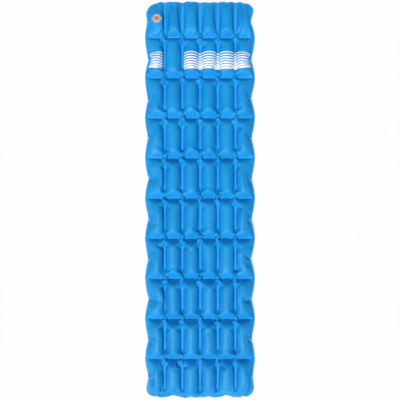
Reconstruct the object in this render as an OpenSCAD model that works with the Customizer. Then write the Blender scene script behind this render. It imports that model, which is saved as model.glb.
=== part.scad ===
// Inflatable sleeping pad: two sheets welded into rows of tube-shaped cells,
// with a two-stage flat valve in the head-end corner.
// The origin is at the centre of the underside, +Y points to the head end and +Z up.

/* [Pad] */
// Length of the inflated pad, head to foot
pad_length = 1830; // [1650:10:2000]
// Width of the inflated pad, measured at the row seams
pad_width = 510; // [470:5:600]
// Thickness of the inflated pad at the tube crests
pad_thickness = 76; // [66:1:90]
// Number of tubes side by side
tube_count = 6; // [5:1:6]
// Number of cells along each tube
row_count = 10; // [8:1:11]
// Length of the first row of cells, from the head end to its seam
head_row = 163; // [155:1:190]
// Length of the last row of cells, from its seam to the foot end
foot_row = 180; // [155:1:200]
// Width of the welded rim round the edge
rim_width = 9; // [6:1:14]
// Thickness of one sheet, film and fabric together
skin = 1; // [0.6:0.1:1.6]
// Width of the line weld between two tubes
weld_width = 7; // [4:0.5:10]

/* [Cells] */
// Width of the flat crest along each tube
crest_width = 22; // [12:1:30]
// Length of the slope from a row seam up to the crest
end_slope = 26; // [18:1:30]
// Height of the open corner where four cells meet, above the weld lines
corner_rise = 15; // [6:1:24]
// How far the long sides draw in between the row seams
side_draw = 16; // [6:1:22]
// How far the four outer corners are cut back
corner_draw = 24; // [10:1:40]

/* [Valve] */
// Diameter of the weld flange under the top sheet
flange_d = 50; // [46:1:54]
// Thickness of the weld flange
flange_t = 1.2; // [0.8:0.1:2]
// How far the sheet is flattened below the crests at the valve
land_drop = 9.5; // [8:0.5:12]
// Distance from the first full crest to the edge of the flattened place
land_gap = 13; // [10:1:16]
// How much further the valve lies from the head end
valve_inset = 14; // [0:1:16]
// Bore of the deflation socket
socket_d = 27; // [24:0.5:29]
// Wall of the deflation socket
socket_wall = 2; // [1.6:0.1:2.4]
// Depth of the deflation socket below the sheet
socket_depth = 10; // [9:0.5:12]
// Height of the socket's collar above the sheet
collar_h = 4.2; // [3.8:0.1:5]
// Width of the lip that keeps the tether ring on the collar
collar_lip = 0.6; // [0.4:0.1:0.8]
// Width of the tether ring round the collar
tether_w = 3; // [2.5:0.1:3.6]
// Thickness of the tether ring
tether_t = 1.6; // [1.2:0.1:2]

/* [Lids] */
// Diameter of the deflation stopper's rim
stopper_d = 35; // [34:0.5:36]
// Thickness of the deflation stopper's rim
stopper_t = 1.8; // [1.4:0.1:2.2]
// Depth of the deflation stopper below its rim
stopper_depth = 10.2; // [9:0.2:11]
// Bore of the inflation port through the stopper
port_d = 15; // [14:0.5:16]
// Thickness of the spider that carries the flap
spider_t = 1.6; // [1.2:0.1:2]
// Diameter of the spider's hub
hub_d = 5.2; // [4.6:0.1:6]
// Width of a spider spoke
spoke_w = 1.8; // [1.4:0.1:2.4]
// Step from the hub's faces down to the spokes
spoke_step = 0.2; // [0.1:0.05:0.4]
// Diameter of the inflation plug's rim
plug_d = 21.6; // [20.5:0.1:22.2]
// Thickness of the inflation plug's rim
plug_t = 1.8; // [1.4:0.1:2.2]
// Depth of the inflation plug below its rim
plug_depth = 5; // [4:0.1:5.6]
// Wall of the hollow inflation plug
plug_wall = 1.4; // [1:0.1:2]
// How far the finger tabs stand out past the lids
tab_reach = 4; // [3:0.5:5]
// Width of the finger tabs
tab_w = 9; // [7:0.5:11]

/* [Hinges] */
// Distance from the stopper's rim to its hinge line
stopper_hinge_gap = 3.4; // [3.2:0.1:4]
// Distance from the plug's rim to its hinge line
plug_hinge_gap = 2.5; // [2.4:0.1:3]
// Width of the hinge straps
strap_w = 5.6; // [5:0.1:6.4]
// Thickness of the hinge straps
strap_t = 1.2; // [1:0.1:1.4]
// Diameter of the stopper's hinge trunnion
stopper_pin_d = 2.4; // [2:0.1:2.6]
// Diameter of the plug's hinge trunnion
plug_pin_d = 1.8; // [1.6:0.1:2]
// Wall of the hinge ears round their holes
ear_wall = 1; // [0.8:0.1:1.2]
// Thickness of the hinge ears
ear_t = 1.4; // [1.2:0.1:1.8]

/* [Flap and seal] */
// Diameter of the one-way flap
flap_d = 19; // [18:0.5:20]
// Thickness of the one-way flap
flap_t = 0.9; // [0.6:0.1:1.2]
// Diameter of the flap's stem
stem_d = 2.4; // [2:0.1:2.6]
// Diameter of the barb that keeps the flap on the spider
barb_d = 4; // [3.6:0.1:4.4]
// Height of the barb
barb_h = 1.6; // [1.2:0.1:1.8]
// How far the flap can lift off its seat
flap_travel = 2.5; // [1.5:0.1:2.8]
// Thickness of the stopper's sealing ring
seal_t = 1.8; // [1.4:0.1:2]
// Depth of the sealing ring below the stopper's rim
seal_drop = 2; // [1.8:0.1:2.4]

/* [Clearances] */
// Radial running clearance of pins and stems
run_gap = 0.08; // [0.05:0.01:0.1]
// Clearance between pieces that pass each other
side_gap = 0.3; // [0.2:0.05:0.4]

/* [Hidden] */
$fn = 64;

// Pad frame
half_length = pad_length / 2;
half_width = pad_width / 2;
weld_plane = pad_thickness / 2;
tube_pitch = (pad_width - 2 * rim_width) / tube_count;
row_pitch = (pad_length - head_row - foot_row) / (row_count - 2);
crown = weld_plane - skin;

// Section of a tube, from one weld line to the next
crest_half = crest_width / 2;
shoulder_half = (crest_half + tube_pitch / 2) / 2;
shoulder_rise = crown * sqrt(1 - pow(shoulder_half / (tube_pitch / 2), 2));
SECTION = [
    [-tube_pitch / 2, 0],
    [-shoulder_half, shoulder_rise],
    [-crest_half, crown],
    [crest_half, crown],
    [shoulder_half, shoulder_rise],
];

// Place of the valve, in the outer tube next to the head end
land_half = flange_d / 2 + skin;
land_rise = crown - land_drop;
valve_x = -half_width + rim_width + tube_pitch / 2 + side_draw / 2;
valve_y = half_length - rim_width - end_slope - land_gap - valve_inset - land_half;
land_z = weld_plane + skin + land_rise;

// Lines across the pad: [x, rise of a full section, tube, place in the section]
EDGE = -1;
function tube_centre(t) = -half_width + rim_width + (t + 0.5) * tube_pitch;
ACROSS = concat(
    [[-half_width, 0, 0, EDGE]],
    [for (t = [0:tube_count - 1]) for (k = [0:len(SECTION) - 1])
        [tube_centre(t) + SECTION[k][0], SECTION[k][1], t, k]],
    [[half_width - rim_width, 0, tube_count - 1, 0], [half_width, 0, tube_count - 1, EDGE]]
);

// Lines along the pad: [y, kind of line], from the head end to the foot end
OUTER = 0;
END_WELD = 1;
SEAM = 2;
CREST = 3;
LAND = 4;
function row_start(r) =
    r == 0 ? half_length - rim_width :
    r == row_count ? -half_length + rim_width : half_length - head_row - (r - 1) * row_pitch;
function row_lines(r) = [
    [row_start(r), r == 0 ? END_WELD : SEAM],
    [row_start(r) - end_slope, CREST],
    [row_start(r + 1) + end_slope, CREST],
];
LAND_LINES = [
    [valve_y + land_half, LAND],
    [valve_y - land_half, LAND],
    [valve_y - land_half - land_gap, CREST],
];
ALONG = concat(
    [[half_length, OUTER]],
    [row_lines(0)[0], row_lines(0)[1]], LAND_LINES, [row_lines(0)[2]],
    [for (r = [1:row_count - 1]) each row_lines(r)],
    [[row_start(row_count), END_WELD], [-half_length, OUTER]]
);

// How far the outer edge is drawn in on one line, and how a point follows it
function edge_draw(kind) =
    kind == OUTER ? corner_draw : kind == END_WELD ? corner_draw / 2 : kind == SEAM ? 0 : side_draw;
function drawn_x(x, kind) =
    let (inner = half_width - rim_width, into = (inner - abs(x)) / tube_pitch,
         share = max(0, min(1, 1 - into)))
    x - sign(x) * edge_draw(kind) * share;

// Whether a crossing of two lines lies on the flattened place, the border or an open corner
function on_land(a, v) = v[1] == LAND && a[2] == 0 && a[3] > 0;
function on_border(a, v) = v[1] == OUTER || a[3] == EDGE;
function on_corner(a, v) = v[1] == SEAM && a[3] == 0 && abs(a[0]) < half_width - rim_width - 1;

// Rise of one sheet above the weld lines, and the point of its outer face, at a crossing.
// The border tapers to an edge, and the flattened place is as wide as the flange.
function rise(a, v, has_valve) =
    v[1] == END_WELD ? 0 :
    v[1] == SEAM ? (on_corner(a, v) ? corner_rise : 0) :
    has_valve && on_land(a, v) ? land_rise : a[1];
function land_x(a) =
    a[3] == 1 ? valve_x - land_half :
    a[3] == 4 ? valve_x + land_half : drawn_x(a[0], LAND);
function sheet_point(a, v, has_valve) = [
    has_valve && on_land(a, v) ? land_x(a) : drawn_x(a[0], v[1]),
    v[0],
    on_border(a, v) ? 0 : skin + rise(a, v, has_valve),
];

// Each facet is split along the diagonal that runs out from the nearest corner of its cell
last_across = len(ACROSS) - 2;
last_along = len(ALONG) - 2;
function split_down(i, j) =
    (ACROSS[i][3] < 2 && i < last_across) == (ALONG[j][1] < CREST && j < last_along);

// One sheet as a solid of triangles over the weld plane, before its cells are hollowed
module quilted_form(has_valve) {
    n = len(ACROSS);
    m = len(ALONG);
    top = [for (v = ALONG) for (a = ACROSS) sheet_point(a, v, has_valve)];
    upper = [for (j = [0:m - 2]) for (i = [0:n - 2])
        let (p = j * n + i, q = p + 1, r = p + n, s = r + 1)
        each split_down(i, j) ? [[p, q, s], [p, s, r]] : [[p, q, r], [q, s, r]]];
    strips = [for (j = [1:m - 3])
        let (p = j * n, q = p + n - 1, r = p + n, s = r + n - 1)
        each [[p, r, q], [q, r, s]]];
    head = concat([for (i = [0:n - 2]) [i, n, i + 1]], [[n - 1, n, 2 * n - 1]]);
    last = (m - 1) * n;
    foot = concat([for (i = [0:n - 2]) [last + i, last + i + 1, last - n]],
                  [[last + n - 1, last - 1, last - n]]);
    polyhedron(top, concat(upper, strips, head, foot), convexity = 20);
}

// Air space of one cell, between its two slopes
module air_space(t, r, height) {
    drawn = t == 0 ? 1 : t == tube_count - 1 ? -1 : 0;
    squeeze = (tube_pitch - abs(drawn) * side_draw) / tube_pitch;
    foot_half = (tube_pitch / 2) * squeeze - weld_width / 2;
    side_half = shoulder_half * squeeze - skin;
    top_half = crest_half * squeeze;
    side_h = min(shoulder_rise, height);
    translate([tube_centre(t) + drawn * side_draw / 2, row_start(r) - end_slope, 0])
        rotate([90, 0, 0])
            linear_extrude(row_start(r) - row_start(r + 1) - 2 * end_slope)
                polygon([[-foot_half, -skin], [foot_half, -skin], [foot_half, 0], [side_half, side_h],
                         [top_half, height], [-top_half, height], [-side_half, side_h],
                         [-foot_half, 0]]);
}

// One sheet with the hollow of every cell open to the weld plane
module quilted_sheet(has_valve) {
    difference() {
        quilted_form(has_valve);
        for (t = [0:tube_count - 1], r = [0:row_count - 1])
            air_space(t, r, has_valve && t == 0 && r == 0 ? land_rise : crown);
    }
}

// The top sheet is holed for the valve's neck and hollowed for the flange under it
module top_sheet() {
    color("dodgerblue")
    difference() {
        translate([0, 0, weld_plane]) quilted_sheet(true);
        at_valve(-land_rise) cylinder(h = land_rise + skin, d = neck_d + 2 * side_gap);
        at_valve(-land_rise - 2 * skin) cylinder(h = land_rise + skin, d = flange_d + 2 * side_gap);
    }
}

module bottom_sheet() {
    color("royalblue")
    translate([0, 0, weld_plane]) mirror([0, 0, 1]) quilted_sheet(false);
}

// Valve levels, measured from the top of the flattened sheet
neck_d = socket_d + 2 * socket_wall;
tether_z = 0.1;
rim_z = collar_h;
stopper_top = rim_z + stopper_t;
stopper_foot = rim_z - stopper_depth;
spider_z = stopper_foot + side_gap;
plug_top = stopper_top + plug_t;

module at_valve(z) {
    translate([valve_x, valve_y, land_z + z]) children();
}

// Weld flange, socket and collar in one moulding
module valve_flange() {
    lip_r = neck_d / 2 + collar_lip;
    lip_z = tether_z + tether_t + side_gap;
    color("silver")
    at_valve(0)
        rotate_extrude()
            polygon([
                [socket_d / 2, -socket_depth],
                [neck_d / 2, -socket_depth],
                [neck_d / 2, -skin - flange_t],
                [flange_d / 2, -skin - flange_t],
                [flange_d / 2, -skin],
                [neck_d / 2, -skin],
                [neck_d / 2, lip_z],
                [lip_r, lip_z + collar_lip],
                [lip_r, collar_h],
                [socket_d / 2, collar_h],
            ]);
}

// Hinge lines, as distance from the valve's axis and height
stopper_hinge_r = stopper_d / 2 + stopper_hinge_gap;
stopper_hinge_z = rim_z + strap_t / 2;
plug_hinge_r = plug_d / 2 + plug_hinge_gap;
plug_hinge_z = plug_top - strap_t / 2;

// Hinge ears with their holes: a pair of lugs round the hinge line, standing on a base.
// The hinge line lies at x = 0, z = 0, and the base at height base_z.
module hinge_ears(pin_d, base_z, foot_in) {
    hole_r = pin_d / 2 + run_gap;
    ear_r = hole_r + ear_wall;
    for (side = [-1, 1])
        translate([0, side * (strap_w / 2 + side_gap + ear_t / 2), 0])
            difference() {
                union() {
                    rotate([90, 0, 0]) cylinder(h = ear_t, r = ear_r, center = true);
                    translate([-foot_in, -ear_t / 2, base_z]) cube([foot_in + ear_r, ear_t, -base_z]);
                }
                rotate([90, 0, 0]) cylinder(h = 2 * ear_t, r = hole_r, center = true);
            }
}

// Strap of a lid with the trunnion that turns in the ears.
// It starts at the hinge line, x = 0, z = 0, and reaches towards +X.
module hinge_strap(pin_d, reach) {
    trunnion_l = strap_w + 2 * (side_gap + ear_t);
    translate([0, -strap_w / 2, -strap_t / 2]) cube([reach, strap_w, strap_t]);
    rotate([90, 0, 0]) cylinder(h = trunnion_l, d = pin_d, center = true);
}

// Ring that clips under the collar's lip and carries the stopper's hinge
module tether_ring() {
    inner_r = neck_d / 2 + run_gap;
    outer_r = inner_r + tether_w;
    ear_inset = stopper_hinge_r - outer_r;
    color("darkgray") {
        at_valve(tether_z)
            difference() {
                union() {
                    cylinder(h = tether_t, r = outer_r);
                    for (side = [-1, 1])
                        translate([-stopper_hinge_r, side * (strap_w / 2 + side_gap + ear_t / 2), 0])
                            translate([0, -ear_t / 2, 0])
                                cube([ear_inset + tether_w / 2, ear_t, tether_t]);
                }
                translate([0, 0, -1]) cylinder(h = tether_t + 2, r = inner_r);
            }
        at_valve(stopper_hinge_z)
            translate([-stopper_hinge_r, 0, 0])
                mirror([1, 0, 0])
                    hinge_ears(stopper_pin_d, tether_z - stopper_hinge_z, 0);
    }
}

// Radius of a plug at a depth below its hinge line, so that it swings clear of its bore
function swing_r(hinge_r, bore_r, depth) =
    sqrt(pow(hinge_r + bore_r - side_gap / 2, 2) - pow(depth, 2)) - hinge_r;

seal_z = rim_z - seal_drop;
stopper_mouth_r = swing_r(stopper_hinge_r, socket_d / 2, stopper_hinge_z - rim_z);
stopper_foot_r = swing_r(stopper_hinge_r, socket_d / 2, stopper_hinge_z - stopper_foot);
seal_outer_r = swing_r(stopper_hinge_r, socket_d / 2, stopper_hinge_z - seal_z + seal_t / 2);
seal_mid_r = seal_outer_r - seal_t / 2;

// Finger tab that stands out of a lid's rim towards +X
module finger_tab(rim_r, height) {
    translate([rim_r - tab_reach, -tab_w / 2, 0]) cube([tab_reach, tab_w, height]);
    intersection() {
        cylinder(h = height, r = rim_r + tab_reach);
        translate([rim_r - tab_reach, -tab_w / 2, 0]) cube([3 * tab_reach, tab_w, height]);
    }
}

// Stopper for fast deflation, with the inflation port and the flap's spider
module deflate_stopper() {
    color("gainsboro")
    at_valve(0) {
        difference() {
            union() {
                rotate_extrude()
                    polygon([
                        [port_d / 2, stopper_foot],
                        [stopper_foot_r, stopper_foot],
                        [stopper_mouth_r, rim_z],
                        [stopper_d / 2, rim_z],
                        [stopper_d / 2, stopper_top],
                        [port_d / 2, stopper_top],
                    ]);
                translate([0, 0, rim_z + stopper_t - strap_t])
                    difference() {
                        finger_tab(stopper_d / 2, strap_t);
                        translate([0, 0, -1]) cylinder(h = strap_t + 2, d = stopper_d - 1);
                    }
                translate([-stopper_hinge_r, 0, stopper_hinge_z])
                    hinge_strap(stopper_pin_d, stopper_hinge_gap + 1);
                translate([plug_hinge_r, 0, plug_hinge_z])
                    hinge_ears(plug_pin_d, stopper_top - plug_hinge_z, 0);
            }
            translate([0, 0, seal_z])
                rotate_extrude()
                    translate([seal_mid_r, 0]) circle(d = seal_t + 2 * run_gap);
        }
        difference() {
            union() {
                translate([0, 0, spider_z]) cylinder(h = spider_t, d = hub_d);
                for (angle = [60:120:300])
                    rotate([0, 0, angle])
                        translate([hub_d / 2 - side_gap, -spoke_w / 2, spider_z + spoke_step])
                            cube([(port_d - hub_d) / 2 + 3 * side_gap, spoke_w, spider_t - 2 * spoke_step]);
            }
            translate([0, 0, spider_z - 1]) cylinder(h = spider_t + 2, d = stem_d + 2 * run_gap);
        }
    }
}

module stopper_seal() {
    color("dimgray")
    at_valve(seal_z)
        rotate_extrude()
            translate([seal_mid_r, 0]) circle(d = seal_t);
}

// One-way flap: a disc under the spider, with a barbed stem through its hub
module check_flap() {
    barb_z = spider_z + spider_t + flap_travel;
    color("whitesmoke")
    at_valve(0)
        rotate_extrude()
            polygon([
                [0, stopper_foot - 2 * flap_t],
                [flap_d / 4, stopper_foot - 2 * flap_t],
                [flap_d / 2, stopper_foot - flap_t],
                [flap_d / 2, stopper_foot],
                [stem_d / 2, stopper_foot],
                [stem_d / 2, barb_z],
                [barb_d / 2, barb_z],
                [stem_d / 2, barb_z + barb_h],
                [0, barb_z + barb_h],
            ]);
}

// Plug of the inflation port, hollow from below
module inflate_plug() {
    bore_r = port_d / 2;
    mouth_r = swing_r(plug_hinge_r, bore_r, plug_hinge_z - stopper_top);
    foot_z = stopper_top - plug_depth;
    foot_r = swing_r(plug_hinge_r, bore_r, plug_hinge_z - foot_z);
    color("orangered")
    at_valve(0) {
        rotate_extrude()
            polygon([
                [0, stopper_top],
                [mouth_r - plug_wall, stopper_top],
                [foot_r - plug_wall, foot_z],
                [foot_r, foot_z],
                [mouth_r, stopper_top],
                [plug_d / 2, stopper_top],
                [plug_d / 2, plug_top],
                [0, plug_top],
            ]);
        translate([0, 0, plug_top - strap_t])
            mirror([1, 0, 0]) finger_tab(plug_d / 2, strap_t);
        translate([plug_hinge_r, 0, plug_hinge_z])
            mirror([1, 0, 0]) hinge_strap(plug_pin_d, plug_hinge_gap + 1);
    }
}

top_sheet();
bottom_sheet();
valve_flange();
tether_ring();
deflate_stopper();
stopper_seal();
check_flap();
inflate_plug();
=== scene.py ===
# %% [markdown]
# # An inflatable sleeping pad
# The pad is a bag of two coated sheets, welded to each other along a rim and along short
# dashes. Air makes every place between the dashes stand up, so the bag turns into six tubes side
# by side, each divided into ten cells. A flat two-stage valve sits in one corner at the head end.
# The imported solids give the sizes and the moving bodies. This file only adds the looks.

# %% Load the frame
import math

import bpy
import numpy as np
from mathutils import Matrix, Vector


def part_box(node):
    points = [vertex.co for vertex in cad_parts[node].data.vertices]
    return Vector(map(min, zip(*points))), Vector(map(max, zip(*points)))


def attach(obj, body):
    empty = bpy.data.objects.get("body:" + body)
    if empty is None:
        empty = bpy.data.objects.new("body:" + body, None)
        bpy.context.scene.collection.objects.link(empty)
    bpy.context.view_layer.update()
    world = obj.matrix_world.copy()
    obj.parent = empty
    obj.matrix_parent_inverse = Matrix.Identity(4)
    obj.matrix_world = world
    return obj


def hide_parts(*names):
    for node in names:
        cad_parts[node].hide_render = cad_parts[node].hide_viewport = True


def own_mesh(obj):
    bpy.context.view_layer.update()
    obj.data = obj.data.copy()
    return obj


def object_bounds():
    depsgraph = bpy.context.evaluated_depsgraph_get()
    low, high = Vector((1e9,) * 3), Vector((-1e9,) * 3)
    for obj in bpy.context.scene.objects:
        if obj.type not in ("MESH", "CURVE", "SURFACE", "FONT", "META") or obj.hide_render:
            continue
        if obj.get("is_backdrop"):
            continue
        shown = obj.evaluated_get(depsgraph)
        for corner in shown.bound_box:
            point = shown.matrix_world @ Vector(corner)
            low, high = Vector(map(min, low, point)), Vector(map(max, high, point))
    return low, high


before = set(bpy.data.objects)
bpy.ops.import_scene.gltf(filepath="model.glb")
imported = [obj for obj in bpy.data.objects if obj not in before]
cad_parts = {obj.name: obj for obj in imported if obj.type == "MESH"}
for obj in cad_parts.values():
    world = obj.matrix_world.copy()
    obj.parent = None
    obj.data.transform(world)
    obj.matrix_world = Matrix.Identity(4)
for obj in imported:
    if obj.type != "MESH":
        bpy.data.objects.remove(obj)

cad_low, cad_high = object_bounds()
scene = bpy.context.scene
print("solids reach from", [round(x, 4) for x in cad_low], "to", [round(x, 4) for x in cad_high])

# %% [markdown]
# ## Camera
# The photograph looks straight down on the pad, head end up. A straight-down camera keeps
# its own Y axis as the picture's up direction, so it needs no turning at all. Its height
# sets how far the crests lean outwards near the picture's ends.

# %% Camera above the pad
CAMERA_HEIGHT = 1.75
LENS = 33.2
camera = bpy.data.objects.new("camera", bpy.data.cameras.new("camera"))
camera.data.lens = LENS
camera.location = (0.0, 0.0, CAMERA_HEIGHT)
scene.collection.objects.link(camera)
scene.camera = camera
print("camera", CAMERA_HEIGHT, "m up, lens", LENS, "mm")

# %% [markdown]
# ## Floor and light
# Product pictures of a pad have a white ground. The floor is a pale sheet that still takes
# the pad's shadow: seen directly, most of its white comes from a plain glow, and the
# rest from the light that really reaches it. One far soft lamp stands high towards the foot
# end and the left, so the slopes that face it are bright and the others fall into shade. It is
# a sun lamp, because a near lamp would light one end of the long pad more than the other. The
# white surroundings fill the shade.

# %% Floor, lamp and surroundings
FLOOR_HALF = 6.0
FLOOR_DROP = 0.0006
FLOOR_TONE, FLOOR_ROUGHNESS, FLOOR_GLOSS = (0.86, 0.86, 0.86, 1.0), 0.9, 0.1
GLOW_SHARE = 0.80
FILL_STRENGTH = 0.06
LAMP_PLACE, LAMP_STRENGTH, LAMP_SOFTNESS = (-1.3, -3.2, 6.2), 3.75, math.radians(10)
WHITE = (1.0, 1.0, 1.0, 1.0)


def either(tree, first, second):
    """1 where at least one of two masks is 1."""
    node = tree.nodes.new("ShaderNodeMath")
    node.operation = "MAXIMUM"
    tree.links.new(first, node.inputs[0])
    tree.links.new(second, node.inputs[1])
    return node.outputs[0]


def plain_view(tree, direct, other):
    """Joins two shaders: one for what the camera sees, also in gloss and glass, one for the rest."""
    path = tree.nodes.new("ShaderNodeLightPath").outputs
    seen = either(tree, path["Is Camera Ray"], path["Is Glossy Ray"])
    seen = either(tree, seen, path["Is Transmission Ray"])
    mix = tree.nodes.new("ShaderNodeMixShader")
    tree.links.new(seen, mix.inputs[0])
    tree.links.new(other, mix.inputs[1])
    tree.links.new(direct, mix.inputs[2])
    return mix.outputs[0]


def pale_floor():
    """A flat pale floor that shows white and keeps a light shadow."""
    mesh = bpy.data.meshes.new("floor")
    ways = ((-1, -1), (1, -1), (1, 1), (-1, 1))
    corners = [(x * FLOOR_HALF, y * FLOOR_HALF, -FLOOR_DROP) for x, y in ways]
    mesh.from_pydata(corners, [], [(0, 1, 2, 3)])
    floor = bpy.data.objects.new("floor", mesh)
    scene.collection.objects.link(floor)
    material = bpy.data.materials.new("pale_floor")
    material.use_nodes = True
    tree = material.node_tree
    body = tree.nodes["Principled BSDF"]
    body.inputs["Base Color"].default_value = FLOOR_TONE
    body.inputs["Roughness"].default_value = FLOOR_ROUGHNESS
    body.inputs["Specular IOR Level"].default_value = FLOOR_GLOSS
    glow = tree.nodes.new("ShaderNodeEmission")
    glow.inputs["Color"].default_value = WHITE
    blend = tree.nodes.new("ShaderNodeMixShader")
    blend.inputs[0].default_value = GLOW_SHARE
    tree.links.new(body.outputs[0], blend.inputs[1])
    tree.links.new(glow.outputs[0], blend.inputs[2])
    end = plain_view(tree, blend.outputs[0], body.outputs[0])
    tree.links.new(end, tree.nodes["Material Output"].inputs["Surface"])
    mesh.materials.append(material)
    floor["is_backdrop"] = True


def white_surroundings(strength):
    """Even white light from all round, shown as plain white."""
    world = bpy.data.worlds.new("white_room")
    scene.world = world
    world.use_nodes = True
    tree = world.node_tree
    fill = tree.nodes["Background"]
    fill.inputs["Color"].default_value = WHITE
    fill.inputs["Strength"].default_value = strength
    white = tree.nodes.new("ShaderNodeBackground")
    white.inputs["Color"].default_value = WHITE
    white.inputs["Strength"].default_value = 1.0
    end = plain_view(tree, white.outputs[0], fill.outputs[0])
    tree.links.new(end, tree.nodes["World Output"].inputs["Surface"])


def far_lamp(name, place, strength, softness):
    """A large soft lamp so far away that it lights the whole pad evenly. It faces the origin."""
    lamp = bpy.data.objects.new(name, bpy.data.lights.new(name, "SUN"))
    lamp.data.energy = strength
    lamp.data.angle = softness
    lamp.location = place
    lamp.rotation_euler = (-Vector(place)).to_track_quat("-Z", "Y").to_euler()
    scene.collection.objects.link(lamp)


pale_floor()
white_surroundings(FILL_STRENGTH)
far_lamp("key_lamp", LAMP_PLACE, LAMP_STRENGTH, LAMP_SOFTNESS)
scene.view_settings.view_transform = "Standard"
print("lamp towards", LAMP_PLACE, "strength", LAMP_STRENGTH, "surroundings", FILL_STRENGTH)

# %% [markdown]
# ## The cut and the welds
# Both sheets are cut flat and much larger than the inflated pad: a tube that is 75 mm wide
# when full takes 109 mm of fabric. The sheets are held to each other along three kinds of
# weld: dashes between two tubes, shorter dashes across each tube at the end of a cell, and
# the rim. The places where four cells meet stay open, so that air can pass.
# The grid below follows the cut: lines across and along it fall on the edges of all welds.

# %% Sizes of the cut
HALF_W, HALF_L = cad_high.x, cad_high.y
WELD_Z = cad_high.z / 2
TUBES, ROWS = 6, 10
RIM = 0.009
PITCH = (2 * HALF_W - 2 * RIM) / TUBES
WELD, SEAM = 0.0075, 0.0045
HEAD_ROW, FOOT_ROW = 0.163, 0.180
ROW_PITCH = (2 * HALF_L - HEAD_ROW - FOOT_ROW) / (ROWS - 2)
IN_W, IN_L = HALF_W - RIM, HALF_L - RIM
TUBE_CUT, OUTER_CUT = 0.109, 0.106
OUTER_CHORD = 0.070
ROW_SPARE, HEAD_SPARE, FOOT_SPARE = 0.041, 0.0205, 0.034
DASH_ALONG, DASH_ACROSS = 0.115, 0.060
STEPS_U, STEPS_V = 12, 22

seam_y = -HALF_L + FOOT_ROW + ROW_PITCH * np.arange(ROWS - 1)
row_low = np.concatenate([[-IN_L], seam_y + SEAM / 2])
row_high = np.concatenate([seam_y - SEAM / 2, [IN_L]])
row_cut = row_high - row_low + np.array([FOOT_SPARE] + [ROW_SPARE] * (ROWS - 2) + [HEAD_SPARE])
tube_mid = (np.arange(TUBES) - (TUBES - 1) / 2) * PITCH
tube_low = tube_mid - (PITCH - WELD) / 2
tube_high = tube_mid + (PITCH - WELD) / 2
tube_low[0] = tube_high[0] - OUTER_CHORD
tube_high[-1] = tube_low[-1] + OUTER_CHORD
tube_cut = np.array([OUTER_CUT] + [TUBE_CUT] * (TUBES - 2) + [OUTER_CUT])
print(TUBES, "tubes,", round(PITCH, 4), "m apart,", ROWS, "rows,", round(ROW_PITCH, 4), "m apart")

# %% Lines of the cut
tube_of = np.repeat(np.arange(TUBES), STEPS_U + 1)
part_u = np.tile(np.arange(STEPS_U + 1) / STEPS_U, TUBES)
row_of = np.repeat(np.arange(ROWS), STEPS_V + 1)
part_v = np.tile(np.arange(STEPS_V + 1) / STEPS_V, ROWS)
across, along = len(tube_of), len(row_of)


def cut_lines(lengths, gap, span_of, part):
    """Places of the grid lines on the flat cut, with the welds between the spans, about its middle."""
    starts = np.concatenate([[0.0], np.cumsum(lengths[:-1] + gap)])
    lines = starts[span_of] + part * lengths[span_of]
    return lines - lines[-1] / 2


cut_u = cut_lines(tube_cut, WELD, tube_of, part_u)
cut_v = cut_lines(row_cut, SEAM, row_of, part_v)
even_x = tube_low[tube_of] + part_u * (tube_high - tube_low)[tube_of]
even_y = row_low[row_of] + part_v * (row_high - row_low)[row_of]
u_from_mid = (part_u - 0.5) * tube_cut[tube_of]
v_from_mid = (part_v - 0.5) * row_cut[row_of]

# %% [markdown]
# ## Where the welds end up
# A weld cannot stretch, so each dash keeps its own length. When the pad fills, the dashes
# only draw nearer to each other, to the pitch that the solids have. So the welded points of
# the grid are known before any air goes in, and the simulation has to find only what the
# free fabric does between them.

# %% Places of the dashes on the full pad
is_weld_line = (part_u == 0) | (part_u == 1)
is_weld_line[[0, -1]] = False
is_seam_line = (part_v == 0) | (part_v == 1)
is_seam_line[[0, -1]] = False
dash_start = (row_cut[1] - DASH_ALONG) / 2
head_row = row_of == ROWS - 1
in_dash = np.abs(v_from_mid) <= DASH_ALONG / 2
in_dash |= head_row & (part_v * row_cut[-1] >= dash_start)
dash_y = ((row_low + row_high) / 2)[row_of] + v_from_mid
dash_y = np.where(head_row, IN_L - (1 - part_v) * row_cut[-1], dash_y)

along_dash = is_weld_line[None, :] & in_dash[:, None]
across_dash = is_seam_line[:, None] & (np.abs(u_from_mid) <= DASH_ACROSS / 2)[None, :]
full = np.zeros((along, across, 3))
full[:, :, 0] = even_x[None, :]
full[:, :, 1] = even_y[:, None]
full[:, :, 1] = np.where(along_dash, dash_y[:, None], full[:, :, 1])
seam_x = tube_mid[tube_of] + u_from_mid
full[:, :, 0] = np.where(across_dash, seam_x[None, :], full[:, :, 0])
print("welded points", int(along_dash.sum() + across_dash.sum()))

# %% [markdown]
# ## The rim's path
# At the end of each row the sheets lie flat and the rim is at its widest. Between two row
# seams the outer tube fills and pulls the rim in. The rim is too long for that shorter way, so
# the spare length tucks itself in halfway, where the edge shows a sharp notch. At the head end
# the rim arches over each tube instead, and at the foot end it waves up and down. The rim is
# made as two lines of points: the inner edge of its weld, which the sheets are held by, and
# its cut edge.

# %% Rim along the two sides
SIDE_DRAW, DRAW_STRAY, VALVE_SIDE_DRAW = 0.016, 0.0018, 0.010
END_NOTCH_SHIFT, NOTCH_STRAY = 0.012, 0.005
RIM_KEEPS, TUCK_LEAST, TUCK_MOST = 0.97, 0.001, 0.011
TUCK_IN, TUCK_UP, FOLD_REACH = 0.4, 0.8, 0.010
NOTCH_GAP, GAP_POWER = 0.003, 12
STRAIGHT_SHARE = 0.3
PATH_STEPS = 60
BEYOND = 0.020
RIM_SEED = 7
chance = np.random.default_rng(RIM_SEED)
rim_edge = full.copy()
seam_cut = (cut_v[STEPS_V::STEPS_V + 1][:-1] + cut_v[STEPS_V + 1::STEPS_V + 1]) / 2
bump_cut = np.concatenate([[cut_v[0] - BEYOND], seam_cut, [cut_v[-1] + BEYOND]])
end_share = 1 - BEYOND / (bump_cut[1:] - bump_cut[:-1])[[0, -1]]
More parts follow.
